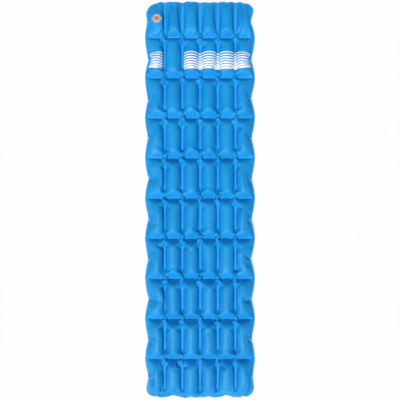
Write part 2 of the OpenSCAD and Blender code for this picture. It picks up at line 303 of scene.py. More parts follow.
bump_y = np.concatenate([[seam_y[0] - (seam_y[0] + IN_L) / end_share[0]], seam_y,
                         [seam_y[-1] + (IN_L - seam_y[-1]) / end_share[1]]])


def path_length(x, y):
    """Length along a line of points, at each point."""
    return np.concatenate([[0.0], np.cumsum(np.hypot(np.diff(x), np.diff(y)))])


def scallop(low, high, notch, depth):
    """Two arcs of the rim that meet in a notch: x inwards from the rim, and y."""
    rise = np.linspace(0.0, 1.0, PATH_STEPS)
    bow = 1 - np.cos(math.pi / 2 * rise)
    dip = depth * (STRAIGHT_SHARE * rise + (1 - STRAIGHT_SHARE) * bow)
    x = IN_W - np.concatenate([dip, dip[::-1]])
    y = np.concatenate([low + rise * (notch - low), notch + rise * (high - notch)])
    return x, y


for column, sign in ((0, -1.0), (across - 1, 1.0)):
    for row in range(ROWS):
        low, high = bump_y[row], bump_y[row + 1]
        stray = chance.normal(0, NOTCH_STRAY)
        inward = {0: END_NOTCH_SHIFT, ROWS - 1: -END_NOTCH_SHIFT}.get(row, stray)
        notch = (low + high) / 2 + inward
        depth = SIDE_DRAW + chance.normal(0, DRAW_STRAY)
        if sign < 0 and row == ROWS - 1:
            depth = VALVE_SIDE_DRAW
        x, y = scallop(low, high, notch, depth)
        spare = RIM_KEEPS * (bump_cut[row + 1] - bump_cut[row]) - path_length(x, y)[-1]
        tuck = float(np.clip(spare / 2, TUCK_LEAST, TUCK_MOST))
        tucked_x = np.insert(x, PATH_STEPS, x[PATH_STEPS] - TUCK_IN * tuck)
        tucked_y = np.insert(y, PATH_STEPS, notch)
        spread = np.linspace(-1, 1, 2 * PATH_STEPS + 1)
        cut_edge_y = tucked_y + NOTCH_GAP * np.sign(spread) * (1 - np.abs(spread)) ** GAP_POWER
        cut_edge_x = np.insert(x, PATH_STEPS, x[PATH_STEPS])
        run = path_length(tucked_x, tucked_y)
        fold = TUCK_UP * tuck * chance.choice([-1.0, 1.0])
        here = (cut_v >= bump_cut[row]) & (cut_v < bump_cut[row + 1])
        at = (cut_v[here] - bump_cut[row]) / (bump_cut[row + 1] - bump_cut[row]) * run[-1]
        at[np.argmin(np.abs(at - run[PATH_STEPS]))] = run[PATH_STEPS]
        full[here, column, 0] = sign * np.interp(at, run, tucked_x)
        full[here, column, 1] = np.interp(at, run, tucked_y)
        pinch = np.exp(-((at - run[PATH_STEPS]) / FOLD_REACH) ** 2)
        full[here, column, 2] = fold * pinch
        rim_edge[here, column, 0] = sign * (np.interp(at, run, cut_edge_x) + RIM)
        rim_edge[here, column, 1] = np.interp(at, run, cut_edge_y)
        rim_edge[here, column, 2] = full[here, column, 2]
print("notches along the sides", 2 * ROWS)

# %% Rim along the two ends
END_DRAW, END_DRAW_STRAY = 0.007, 0.0015
HEAD_RISE, FOOT_RISE, RISE_STRAY = 0.018, 0.009, 0.002
FOOT_WAVES = np.array([1, -0.7, 0.9, 0.8, -0.8, 0.7])
CORNER_SHARE, CORNER_RISE = 0.35, 0.7
for line, sign in ((0, -1.0), (along - 1, 1.0)):
    share = 1 - np.abs(2 * part_u - 1)
    draws = END_DRAW + chance.normal(0, END_DRAW_STRAY, TUBES)
    draw = draws[tube_of] * (1 - np.cos(math.pi / 2 * share))
    rises = HEAD_RISE + chance.normal(0, RISE_STRAY, TUBES)
    if sign < 0:
        rises *= FOOT_RISE / HEAD_RISE * FOOT_WAVES
    arch = part_u.copy()
    arch[tube_of == 0] = np.clip((part_u[tube_of == 0] - CORNER_SHARE) / (1 - CORNER_SHARE), 0, 1)
    arch[tube_of == TUBES - 1] = np.clip(part_u[tube_of == TUBES - 1] / (1 - CORNER_SHARE), 0, 1)
    rises[[0, -1]] *= CORNER_RISE
    ripple = rises[tube_of] * 4 * arch * (1 - arch)
    full[line] = np.stack([even_x, sign * (IN_L - draw), ripple], 1)
    rim_edge[line] = np.stack([even_x, sign * (HALF_L - draw), ripple], 1)
    print("foot" if sign < 0 else "head", "rim rises by", rises.round(3))

# %% Rounded corners of the rim
VALVE_CORNER, CORNER = 0.045, 0.032
CORNER_BACK_X, CORNER_BACK_Y = 0.006, 0.002
SIDE_EASE, END_EASE = 0.4, 0.02


def corner_turn(points, edge, axis, corner, sign_x, sign_y, radius, ease):
    """Bends the end of one line of rim points round a corner of that radius."""
    hub = corner - radius * np.array([sign_x, sign_y])
    side = sign_y if axis == 1 else sign_x
    reach = np.maximum(side * (corner[axis] - points[:, axis]), 0.0)
    near = np.nonzero(reach < radius)[0]
    turn = math.pi / 4 * (1 - reach[near] / radius)
    turn = turn if axis == 1 else math.pi / 2 - turn
    way = np.stack([sign_x * np.cos(turn), sign_y * np.sin(turn)], 1)
    share = np.clip((radius - reach[near]) / (ease * radius), 0, 1)[:, None]
    for line, reach_out in ((points, radius), (edge, radius + RIM)):
        line[near, :2] = line[near, :2] * (1 - share) + (hub + reach_out * way) * share
        line[near, 2] *= 1 - share[:, 0]


for line, sign_y in ((0, -1.0), (along - 1, 1.0)):
    for column, sign_x, tube in ((0, -1.0, 0), (across - 1, 1.0, TUBES - 1)):
        radius = VALVE_CORNER if sign_x < 0 < sign_y else CORNER
        corner = np.array([sign_x * (IN_W - CORNER_BACK_X), sign_y * (IN_L - CORNER_BACK_Y)])
        inner_x = tube_high[0] if tube == 0 else tube_low[-1]
        mine = np.nonzero(tube_of == tube)[0]
        part = 1 - part_u[mine] if tube == 0 else part_u[mine]
        for points in (full, rim_edge):
            points[line, mine, 0] = inner_x + part * (corner[0] - inner_x)
        inner_lines = slice(1, None) if line == 0 else slice(None, -1)
        side_full, side_edge = full[inner_lines, column], rim_edge[inner_lines, column]
        corner_turn(side_full, side_edge, 1, corner, sign_x, sign_y, radius, SIDE_EASE)
        end_full, end_edge = full[line, mine], rim_edge[line, mine]
        corner_turn(end_full, end_edge, 0, corner, sign_x, sign_y, radius, END_EASE)
        full[line, mine], rim_edge[line, mine] = end_full, end_edge
side_reach, end_reach = np.abs(rim_edge[:, [0, -1], 0]).max(), np.abs(rim_edge[[0, -1], :, 1]).max()
print("rim reaches", side_reach.round(4), "to the sides and", end_reach.round(4), "to the ends")

# %% [markdown]
# ## The valve's place
# The valve's flange is a stiff disc under the top sheet, so a round piece of fabric stays flat
# there. Its points are held too, at the height that the solids give. Towards the head end and the
# two sides, where the tube falls away, the fabric next to the disc bends down over the flange's
# edge. Towards the foot it rises to the tube's crest.

# %% Flat place for the valve
seal_low, seal_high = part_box("stopper_seal")
valve_x, valve_y = (seal_low.x + seal_high.x) / 2, (seal_low.y + seal_high.y) / 2
LAND_GAP = 0.0001
land_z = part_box("tether_ring")[0].z - LAND_GAP
HOLE_R, FLAT_R, BEND_R = 0.0168, 0.0258, 0.0315
VALVE_FROM_END = 0.082
FOOT_FROM, FOOT_EASE = 0.3, 0.5
FOOT_KEEPS, FOOT_CLIMB = 0.93, 1.35
TINY = 1e-6
from_valve_u = np.where(tube_of == 0, u_from_mid, 1.0)[None, :]
from_valve_v = (cut_v - (cut_v[-1] - VALVE_FROM_END))[:, None]
valve_r = np.hypot(from_valve_u, from_valve_v)
on_flange = valve_r <= FLAT_R
valve_held = valve_r <= BEND_R
past_edge = np.maximum(valve_r - FLAT_R, 0.0)
towards_foot = np.clip((-from_valve_v / np.maximum(valve_r, TINY) - FOOT_FROM) / FOOT_EASE, 0, 1)
valve_reach = (valve_r - past_edge * (1 - FOOT_KEEPS * towards_foot)) / np.maximum(valve_r, TINY)
valve_points = np.stack([valve_x + from_valve_u * valve_reach, valve_y + from_valve_v * valve_reach,
                         land_z - WELD_Z + past_edge * (FOOT_CLIMB * towards_foot - 1)], -1)
print("valve at", round(valve_x, 4), round(valve_y, 4), "flat fabric at", round(land_z, 4))

# %% [markdown]
# ## Air in the bag
# Blender's cloth solver does the filling, one sheet at a time. A sheet starts as the flat cut,
# with its cells raised by a few millimetres. A shape key draws the welded points together over
# the first frames while pressure lifts the rest. The fabric hardly stretches, so it has to crease
# at the ends of the dashes, just as the real one does. Next to the rim there is more fabric than
# its way needs. The real rim takes that length up in small puckers, which would need a far
# finer grid, so here a vertex group lets the cloth shrink a little there. The result is read
# back as points, and the helper object goes away, so no cloth is left in the scene. The
# underside is filled upwards like the top, and turned over afterwards.

# %% Faces of the grid and held points
number = np.arange(along * across).reshape(along, across)
corners = (number[:-1, :-1], number[:-1, 1:], number[1:, 1:], number[1:, :-1])
grid_faces = np.stack(corners, -1).reshape(-1, 4)
on_rim = np.zeros((along, across), bool)
on_rim[[0, -1]] = True
on_rim[:, [0, -1]] = True
welded = along_dash | across_dash | on_rim
print("faces", len(grid_faces), "held points", int(welded.sum()))

# %% Gathers next to the rim
HEAD_GATHER, FOOT_GATHER, SIDE_GATHER, CORNER_GATHER = 0.16, 0.23, 0.05, 0.32
GATHER_LENGTH, SIDE_LENGTH, CORNER_LENGTH = 0.060, 0.035, 0.085
end_gap = cut_v[-1] - np.abs(cut_v)
side_gap = cut_u[-1] - np.abs(cut_u)
near_end = np.clip(1 - end_gap / GATHER_LENGTH, 0, 1)
near_side = np.clip(1 - side_gap / SIDE_LENGTH, 0, 1)
near_corner = np.clip(1 - np.hypot(end_gap[:, None], side_gap[None, :]) / CORNER_LENGTH, 0, 1)
gather = (np.where(cut_v > 0, HEAD_GATHER, FOOT_GATHER) * near_end)[:, None]
gather = np.maximum(gather, (SIDE_GATHER * near_side)[None, :])
gather = np.maximum(gather, CORNER_GATHER * near_corner)
print("gathered points", int((gather > 0).sum()), "by up to", gather.max())

# %% Inflate one sheet
FRAMES, DRAW_FRAMES = 28, 15
START_RISE, LEAST_SWELL, ROUGH_START = 0.008, 0.25, 0.0002
CLOTH_VALUES = {
    "quality": 4, "mass": 0.05, "air_damping": 1, "bending_stiffness": 0.12,
    "tension_stiffness": 40, "compression_stiffness": 40, "shear_stiffness": 5,
    "tension_damping": 15, "compression_damping": 15, "shear_damping": 10,
    "use_pressure": True, "uniform_pressure_force": 70.0, "vertex_group_pressure": "air",
    "vertex_group_mass": "weld", "vertex_group_shrink": "gather", "shrink_min": 0.0, "shrink_max": 1.0,
}


def inflate(goal, held, seed):
    """Points of one sheet after filling: held points go to their goal, air lifts the others."""
    draws = np.random.default_rng(seed)
    swell = np.sin(math.pi * part_u)[None, :] * np.sin(math.pi * part_v)[:, None]
    start = np.zeros((along, across, 3))
    start[:, :, 0] = cut_u[None, :]
    start[:, :, 1] = cut_v[:, None]
    start[:, :, 2] = START_RISE * np.maximum(swell, LEAST_SWELL)
    start[:, :, 2] += np.where(held, 0.0, draws.normal(0, ROUGH_START, (along, across)))
    mesh = bpy.data.meshes.new("filling")
    mesh.from_pydata(start.reshape(-1, 3).tolist(), [], grid_faces.tolist())
    bag = bpy.data.objects.new("filling", mesh)
    scene.collection.objects.link(bag)
    bag.vertex_groups.new(name="air").add(np.nonzero(~held.ravel())[0].tolist(), 1.0, "REPLACE")
    bag.vertex_groups.new(name="weld").add(np.nonzero(held.ravel())[0].tolist(), 1.0, "REPLACE")
    gathered = bag.vertex_groups.new(name="gather")
    for point in np.nonzero(gather.ravel())[0].tolist():
        gathered.add([point], float(gather.ravel()[point]), "REPLACE")
    bag.shape_key_add(name="cut", from_mix=False)
    key = bag.shape_key_add(name="full", from_mix=False)
    key.data.foreach_set("co", goal.astype(np.float32).ravel())
    for value, at in ((0.0, 1), (1.0, DRAW_FRAMES)):
        key.value = value
        key.keyframe_insert("value", frame=at)
    cloth = bag.modifiers.new("cloth", "CLOTH")
    for label, value in CLOTH_VALUES.items():
        setattr(cloth.settings, label, value)
    cloth.settings.effector_weights.gravity = 0
    cloth.collision_settings.use_collision = False
    cloth.collision_settings.use_self_collision = False
    cloth.point_cache.frame_end = FRAMES
    for at in range(1, FRAMES + 1):
        scene.frame_set(at)
    result = bag.evaluated_get(bpy.context.evaluated_depsgraph_get()).data
    points = np.empty(along * across * 3, np.float32)
    result.vertices.foreach_get("co", points)
    action = mesh.shape_keys.animation_data.action
    bpy.data.objects.remove(bag)
    bpy.data.meshes.remove(mesh)
    bpy.data.actions.remove(action)
    scene.frame_set(1)
    return points.reshape(along, across, 3).astype(float)


# %% Fill both sheets
TOP_SEED, BOTTOM_SEED = 7, 11
top_goal = full.copy()
top_goal[valve_held] = valve_points[valve_held]
top_fill = inflate(top_goal, welded | valve_held, TOP_SEED)
bottom_goal = full * np.array([1, 1, -1])
bottom_fill = inflate(bottom_goal, welded, BOTTOM_SEED)
top_rise, bottom_rise = top_fill[:, :, 2].max(), bottom_fill[:, :, 2].max()
print("filled to", top_rise.round(4), "and", bottom_rise.round(4), "m from the weld plane")

# %% [markdown]
# ## From points to sheets
# The filled heights are brought to the thickness of the solids. Taut fabric runs straight from a
# cell's seam to its crest, so each cell's ends are cut to flat slopes, and the two outer tubes are
# evened out along each cell. The underside is pressed a little flatter than its own form, because
# the pad lies on the ground with its crests, and it leaves room for the valve that comes down when
# the pad is flat. Where the sheets come too near to each other they are set apart. The top
# sheet gets its hole under the valve, and both get the rim's strip.
# They meet at the rim's cut edge. Each point also keeps its place on the flat cut, because print,
# weave and weld marks belong to the fabric and follow every fold.

# %% Build a sheet piece
FILM = 0.0005
FULL_MARK, FAINT_MARK = 1.0, 0.79
RIPPLE_HEIGHT, RIPPLE_STEP, RIPPLE_SEED = 0.0012, 3, 3


def rim_loop():
    """Grid places of the sheet's border, once round."""
    foot = [(0, i) for i in range(across)]
    right = [(j, across - 1) for j in range(1, along)]
    head = [(along - 1, i) for i in range(across - 2, -1, -1)]
    left = [(j, 0) for j in range(along - 2, 0, -1)]
    return foot + right + head + left


def rim_ripple(count, draws):
    """Small smooth heights for the rim's cut edge, once round."""
    knots = draws.normal(0, 1, count // RIPPLE_STEP)
    knot_places = np.linspace(0, count, len(knots) + 1)
    return np.interp(np.arange(count), knot_places, np.append(knots, knots[0]))


def sheet_piece(name, points, up, hole):
    """One sheet with its rim as a mesh object. Up is 1 for the top and -1 for the underside."""
    loop = rim_loop()
    edge = np.array([rim_edge[place] for place in loop])
    edge[:, 2] = WELD_Z + fullness * edge[:, 2] + up * FILM / 2
    edge[:, 2] += RIPPLE_HEIGHT * rim_ripple(len(loop), np.random.default_rng(RIPPLE_SEED))
    cut = np.zeros((along, across, 3))
    cut[:, :, 0], cut[:, :, 1] = cut_u[None, :], cut_v[:, None]
    border_cut = np.array([cut[place] for place in loop])
    for axis, last_line in ((0, cut_u[-1]), (1, cut_v[-1])):
        at_border = np.abs(border_cut[:, axis]) >= last_line - TINY
        border_cut[:, axis] += RIM * np.where(at_border, np.sign(border_cut[:, axis]), 0)
    faces = grid_faces.tolist()
    first = along * across
    for k, place in enumerate(loop):
        after = loop[(k + 1) % len(loop)]
        faces.append([number[place], first + k, first + (k + 1) % len(loop), number[after]])
    if up < 0:
        faces = [face[::-1] for face in faces]
    everything = np.concatenate([points.reshape(-1, 3), edge])
    marks = np.where(along_dash & ~on_rim, FULL_MARK, np.where(welded, FAINT_MARK, 0.0))
    marks = np.concatenate([marks.ravel(), np.full(len(loop), FAINT_MARK)])
    places = np.concatenate([cut.reshape(-1, 3), border_cut])
    if hole is not None:
        gone, more_points, more_places, more_faces = hole
        faces = [face for face in faces if max(face) >= first or not gone.ravel()[face].any()]
        faces += more_faces
        everything = np.concatenate([everything, more_points])
        marks = np.concatenate([marks, np.zeros(len(more_points))])
        places = np.concatenate([places, more_places])
    used = np.unique(np.concatenate([np.array(face) for face in faces]))
    order = np.full(len(everything), -1)
    order[used] = np.arange(len(used))
    mesh = bpy.data.meshes.new(name)
    mesh.from_pydata(everything[used].tolist(), [], [order[face].tolist() for face in faces])
    weld = mesh.attributes.new("weld", "FLOAT", "POINT")
    weld.data.foreach_set("value", marks[used].astype(np.float32))
    flat_place = mesh.attributes.new("cut", "FLOAT_VECTOR", "POINT")
    flat_place.data.foreach_set("vector", places[used].astype(np.float32).ravel())
    mesh.polygons.foreach_set("use_smooth", [True] * len(mesh.polygons))
    piece = bpy.data.objects.new(name, mesh)
    scene.collection.objects.link(piece)
    return piece


# %% Flat ends of the cells
FACET_SLOPE, FACET_START, FACET_EDGE = 1.15, 0.003, 0.004
FACET_HALF, FACET_FADE = 0.032, 0.012
FAR = 1.0


def flat_ends(height, y):
    """Heights above the weld plane, with each cell's end cut to a flat slope from its seam."""
    from_low = np.where(row_of == 0, FAR, 0.0)[:, None] + y - row_low[row_of][:, None]
    from_high = np.where(row_of == ROWS - 1, FAR, 0.0)[:, None] + row_high[row_of][:, None] - y
    slope = FACET_START + FACET_SLOPE * np.maximum(np.minimum(from_low, from_high), 0.0)
    lower = (height + slope - np.hypot(height - slope, FACET_EDGE)) / 2
    share = np.clip((FACET_HALF + FACET_FADE - np.abs(u_from_mid)) / FACET_FADE, 0, 1)[None, :]
    return np.where(welded, height, height + share * (np.minimum(lower, height) - height))


# %% Even slopes along the two sides
CALM_LENGTH, CALM_FROM, CALM_EASE = 0.020, 0.2, 0.3


def calm_sides(height):
    """Heights with the two outer tubes evened out along each cell, most of all next to the rim."""
    outward = np.where(tube_of == 0, 1 - part_u, np.where(tube_of == TUBES - 1, part_u, 0.0))
    share = np.clip((outward - CALM_FROM) / CALM_EASE, 0, 1)[None, :]
    calm = height.copy()
    for row in range(ROWS):
        here = row_of == row
        apart = (v_from_mid[here][:, None] - v_from_mid[here][None, :]) / CALM_LENGTH
        weight = np.exp(-apart ** 2 / 2)
        calm[here] = weight @ height[here] / weight.sum(1, keepdims=True)
    return np.where(welded, height, height + share * (calm - height))


# %% Heights of the top sheet
LAND_EASE, OFF_WELD = 0.016, 0.004
top_points = top_fill.copy()
fullness = (cad_high.z - WELD_Z - FILM) / top_rise
top_height = flat_ends(calm_sides(top_fill[:, :, 2] * fullness), top_fill[:, :, 1])
top_points[:, :, 2] = WELD_Z + FILM + top_height
flat_r = np.hypot(top_points[:, :, 0] - valve_x, top_points[:, :, 1] - valve_y)
ease = np.clip(1 - (flat_r - FLAT_R) / LAND_EASE, 0, 1)
lift = land_z - top_points[on_flange][:, 2].mean()
off_weld = top_points[:, :, 2] > WELD_Z + OFF_WELD
top_points[:, :, 2] += lift * ease * ease * (3 - 2 * ease) * off_weld
print("top sheet scaled by", round(fullness, 3), "and lifted to the flange by", lift.round(4))

# %% Hole for the valve in the top sheet
RING_STEPS = 48
RING_SIZES = (HOLE_R, 0.0205, 0.0245, FLAT_R)


def ring_points(middle, height):
    """Points of the rings round the hole, ring by ring."""
    level = np.full(RING_STEPS, height)
    return np.concatenate([np.column_stack([middle + size * round_way, level]) for size in RING_SIZES])


def zip_loops(inner, inner_turn, outer, outer_turn):
    """Triangles between two closed lines of points that are sorted by their angle."""
    triangles, i, k = [], 0, 0
    while i < len(inner) or k < len(outer):
        next_in = inner_turn[i + 1] if i + 1 < len(inner) else inner_turn[0] + 2 * math.pi
        next_out = outer_turn[k + 1] if k + 1 < len(outer) else outer_turn[0] + 2 * math.pi
        a, b = inner[i % len(inner)], outer[k % len(outer)]
        if k >= len(outer) or (i < len(inner) and next_in < next_out):
            triangles.append([a, b, inner[(i + 1) % len(inner)]])
            i += 1
        else:
            triangles.append([a, b, outer[(k + 1) % len(outer)]])
            k += 1
    return triangles


ring_turn = -math.pi + 2 * math.pi * np.arange(RING_STEPS) / RING_STEPS
round_way = np.stack([np.cos(ring_turn), np.sin(ring_turn)], 1)
valve_cut = np.array([cut_u[tube_of == 0].mean(), cut_v[-1] - VALVE_FROM_END])
patch_points = ring_points(np.array([valve_x, valve_y]), land_z)
patch_cut = ring_points(valve_cut, 0.0)
removed = grid_faces[on_flange.ravel()[grid_faces].any(1)]
border = np.setdiff1d(np.unique(removed), np.nonzero(on_flange.ravel())[0])
border_turn = np.arctan2(np.broadcast_to(from_valve_v, valve_r.shape).ravel()[border],
                         np.broadcast_to(from_valve_u, valve_r.shape).ravel()[border])
border = border[np.argsort(border_turn)]
border_turn = np.sort(border_turn)
patch_first = along * across + len(rim_loop())
patch_faces = []
for ring in range(len(RING_SIZES) - 1):
    first = patch_first + ring * RING_STEPS
    for k in range(RING_STEPS):
        a, b = first + k, first + (k + 1) % RING_STEPS
        patch_faces.append([a, a + RING_STEPS, b + RING_STEPS, b])
last_ring = patch_first + (len(RING_SIZES) - 1) * RING_STEPS + np.arange(RING_STEPS)
patch_faces += zip_loops(last_ring.tolist(), ring_turn, border.tolist(), border_turn)
print("faces round the valve", len(patch_faces))

# %% Underside that lies on the ground
PRESSED, APART = 0.0015, 0.0018
VALVE_ROOM, ROOM_SLOPE = 0.0055, 2.2
bottom_points = bottom_fill * np.array([1, 1, -1])
room = WELD_Z + PRESSED - FILM
bottom_height = calm_sides(bottom_fill[:, :, 2] * room / bottom_rise)
bottom_height = flat_ends(bottom_height, bottom_fill[:, :, 1])
bottom_points[:, :, 2] = WELD_Z - FILM - bottom_height
bottom_points[:, :, 2] = np.maximum(bottom_points[:, :, 2], 0.0)
valve_gap = np.hypot(bottom_points[:, :, 0] - valve_x, bottom_points[:, :, 1] - valve_y) - FLAT_R
highest = VALVE_ROOM + ROOM_SLOPE * np.maximum(valve_gap, 0.0)
lowered = np.minimum(bottom_points[:, :, 2], highest)
bottom_points[:, :, 2] = np.where(welded, bottom_points[:, :, 2], lowered)
crossed = (top_points[:, :, 2] < bottom_points[:, :, 2] + 2 * APART) & ~welded
between = (top_points[:, :, 2] + bottom_points[:, :, 2]) / 2
top_points[:, :, 2] = np.where(crossed, between + APART, top_points[:, :, 2])
bottom_points[:, :, 2] = np.where(crossed, between - APART, bottom_points[:, :, 2])
print("points set apart", int(crossed.sum()))

# %% Both sheets as pieces
top_piece = sheet_piece("top_cover", top_points, 1, (on_flange, patch_points, patch_cut, patch_faces))
bottom_piece = sheet_piece("underside", bottom_points, -1, None)
for piece in (top_piece, bottom_piece):
    finer = piece.modifiers.new("finer", "SUBSURF")
    finer.levels = finer.render_levels = 1
    print(piece.name, len(piece.data.vertices), "points")

# %% [markdown]
# ## Shader helpers
# Effects that more than one finish uses are node groups with named sockets: a weave, a slow
# drift of tone, the fine hatching that a welding tool leaves, and the grain of moulded
# plastic. Each material places the groups it needs with its own values.

# %% Node helpers
def wire(tree, value, socket):
    """Links an output to a socket, or sets the socket to a plain value."""
    if isinstance(value, bpy.types.NodeSocket):
        tree.links.new(value, socket)
    else:
        socket.default_value = value


def calc(tree, operation, *values):
    """A Math node on sockets or numbers."""
    node = tree.nodes.new("ShaderNodeMath")
    node.operation = operation
    for value, socket in zip(values, node.inputs):
        wire(tree, value, socket)
    return node.outputs[0]


def tone_mix(tree, share, first, second):
    """A colour between two colours."""
    node = tree.nodes.new("ShaderNodeMix")
    node.data_type = "RGBA"
    wire(tree, share, node.inputs[0])
    wire(tree, first, node.inputs[6])
    wire(tree, second, node.inputs[7])
    return node.outputs[2]


def soft_step(tree, value, low, high):
    """0 below low, 1 above high, smooth between."""
    node = tree.nodes.new("ShaderNodeMapRange")
    node.interpolation_type = "SMOOTHSTEP"
    wire(tree, value, node.inputs["Value"])
    wire(tree, low, node.inputs["From Min"])
    wire(tree, high, node.inputs["From Max"])
    return node.outputs["Result"]


def new_group(name, inputs, outputs):
    """An empty shader group with named sockets. Returns the group and its two ends."""
    kinds = {"float": "NodeSocketFloat", "vector": "NodeSocketVector"}
    group = bpy.data.node_groups.new(name, "ShaderNodeTree")
    for label, kind, value in inputs:
        socket = group.interface.new_socket(name=label, in_out="INPUT", socket_type=kinds[kind])
        if kind == "float":
            socket.default_value = value
    for label in outputs:
        group.interface.new_socket(name=label, in_out="OUTPUT", socket_type="NodeSocketFloat")
    return group, group.nodes.new("NodeGroupInput").outputs, group.nodes.new("NodeGroupOutput").inputs


def use(tree, group, **values):
    """Places a group in a tree. Keyword names are socket names with _ for spaces."""
    node = tree.nodes.new("ShaderNodeGroup")
    node.node_tree = group
    for label, value in values.items():
        wire(tree, value, node.inputs[label.replace("_", " ")])
    return node.outputs


def parts(tree, vector):
    """X, Y and Z of a vector."""
    node = tree.nodes.new("ShaderNodeSeparateXYZ")
    wire(tree, vector, node.inputs[0])
    return node.outputs


# %% Groups: weave, drift, weld hatching, moulded grain
PLACE = ("Place", "vector", None)
RIB_LOW, RIB_HIGH, THREAD_HEIGHT = 0.42, 0.48, 0.35
DRIFT_DETAIL, DRIFT_LOW, DRIFT_HIGH = 3.0, 0.32, 0.68
WEAR_SCALE, WEAR_DETAIL, WEAR_LOW, WEAR_HIGH = 140.0, 4.0, 0.52, 0.72


def make_weave():
    """Plain weave with a stronger thread at regular steps. Place is on the flat cut, in metres."""
    sockets = [PLACE, ("Thread", "float", 0.0006), ("Step", "float", 0.006)]
    group, given, out = new_group("plain_weave", sockets, ["Height", "Rib"])
    x, y, _ = parts(group, given["Place"])
    turns = calc(group, "DIVIDE", math.pi, given["Thread"])
    over = calc(group, "SINE", calc(group, "MULTIPLY", x, turns))
    under = calc(group, "SINE", calc(group, "MULTIPLY", y, turns))
    thread = calc(group, "MULTIPLY", over, under)
    ribs = []
    for way in (x, y):
        part = calc(group, "FRACT", calc(group, "DIVIDE", way, given["Step"]))
        off = calc(group, "ABSOLUTE", calc(group, "SUBTRACT", part, 0.5))
        ribs.append(soft_step(group, off, RIB_LOW, RIB_HIGH))
    rib = calc(group, "MAXIMUM", *ribs)
    wire(group, rib, out["Rib"])
    wire(group, calc(group, "MULTIPLY_ADD", thread, THREAD_HEIGHT, rib), out["Height"])
    return group


def make_drift():
    """Slow change of tone over a surface, from 0 to 1."""
    group, given, out = new_group("tone_drift", [PLACE, ("Scale", "float", 6.0)], ["Value"])
    noise = group.nodes.new("ShaderNodeTexNoise")
    noise.inputs["Detail"].default_value = DRIFT_DETAIL
    wire(group, given["Place"], noise.inputs["Vector"])
    wire(group, given["Scale"], noise.inputs["Scale"])
    wire(group, soft_step(group, noise.outputs["Fac"], DRIFT_LOW, DRIFT_HIGH), out["Value"])
    return group


def make_hatching():
    """Crossed fine lines that a heated welding tool presses into fabric."""
    group, given, out = new_group("weld_hatching", [PLACE, ("Pitch", "float", 0.002)], ["Height"])
    x, y, _ = parts(group, given["Place"])
    turns = calc(group, "DIVIDE", 2 * math.pi, given["Pitch"])
    first = calc(group, "SINE", calc(group, "MULTIPLY", calc(group, "ADD", x, y), turns))
    second = calc(group, "SINE", calc(group, "MULTIPLY", calc(group, "SUBTRACT", x, y), turns))
    wire(group, calc(group, "MAXIMUM", first, second), out["Height"])
    return group


def make_grain():
    """Fine spark-eroded grain of a moulded part, and worn patches on it."""
    sockets = [PLACE, ("Scale", "float", 2500.0)]
    group, given, out = new_group("moulded_grain", sockets, ["Height", "Wear"])
    fine = group.nodes.new("ShaderNodeTexNoise")
    wire(group, given["Place"], fine.inputs["Vector"])
    wire(group, given["Scale"], fine.inputs["Scale"])
    wire(group, fine.outputs["Fac"], out["Height"])
    broad = group.nodes.new("ShaderNodeTexNoise")
    wire(group, given["Place"], broad.inputs["Vector"])
    broad.inputs["Scale"].default_value = WEAR_SCALE
    broad.inputs["Detail"].default_value = WEAR_DETAIL
    wire(group, soft_step(group, broad.outputs["Fac"], WEAR_LOW, WEAR_HIGH), out["Wear"])
    return group


WEAVE, DRIFT, HATCHING, GRAIN = make_weave(), make_drift(), make_hatching(), make_grain()
print("groups", [group.name for group in (WEAVE, DRIFT, HATCHING, GRAIN)])

# %% [markdown]
# ## Fabric
# The cover is thin nylon with a film on its inner side: a clear blue with a soft satin
# shine. The weave only shows close up, welds are pressed smooth and carry a painted highlight
# in a lighter tone, and seven white stripes are printed across the second row of cells, each
# broader than the one above it. All of it is placed by the attribute that holds the flat cut, so
# it bends with the fabric and needs no unwrapping.

# %% Stripes printed on the top sheet
STRIPES, STRIPE_STEP = 7, 0.0118
STRIPE_THIN, STRIPE_BROAD = 0.0023, 0.0048
STRIPE_FIRST = 0.016
STRIPE_ROW = ROWS - 2
STRIPE_BLUR = 0.0003
FIRST_SPAN_LOW, FIRST_SPAN_HIGH, SPAN_HALF = 0.047, 0.040, 0.046
tube_cut_mid = np.array([cut_u[tube_of == t].mean() for t in range(TUBES)])
row_cut_mid = np.array([cut_v[row_of == r].mean() for r in range(ROWS)])
STRIPE_SPANS = ((tube_cut_mid[0] - FIRST_SPAN_LOW, tube_cut_mid[0] + FIRST_SPAN_HIGH),
                (tube_cut_mid[2] - SPAN_HALF, tube_cut_mid[5] + SPAN_HALF))
print("stripes", STRIPES, "in", len(STRIPE_SPANS), "spans")


def stripe_mask(tree, place):
    """1 on the printed stripes."""
    u, v, _ = parts(tree, place)
    first = row_cut_mid[STRIPE_ROW] + STRIPE_FIRST
    count = calc(tree, "DIVIDE", calc(tree, "SUBTRACT", first, v), STRIPE_STEP)
    nearest = calc(tree, "ROUND", count)
    steps_off = calc(tree, "ABSOLUTE", calc(tree, "SUBTRACT", count, nearest))
    off = calc(tree, "MULTIPLY", steps_off, STRIPE_STEP)
    growth = (STRIPE_BROAD - STRIPE_THIN) / (STRIPES - 1)
    half = calc(tree, "MULTIPLY_ADD", nearest, growth, STRIPE_THIN)
    line = soft_step(tree, calc(tree, "SUBTRACT", half, off), -STRIPE_BLUR, STRIPE_BLUR)
    in_rows = calc(tree, "MULTIPLY", calc(tree, "GREATER_THAN", count, -0.5),
                   calc(tree, "LESS_THAN", count, STRIPES - 0.5))
    spans = []
    for low, high in STRIPE_SPANS:
        spans.append(calc(tree, "MULTIPLY", calc(tree, "GREATER_THAN", u, float(low)),
                          calc(tree, "LESS_THAN", u, float(high))))
    in_span = calc(tree, "MAXIMUM", *spans)
    return calc(tree, "MULTIPLY", calc(tree, "MULTIPLY", line, in_rows), in_span)


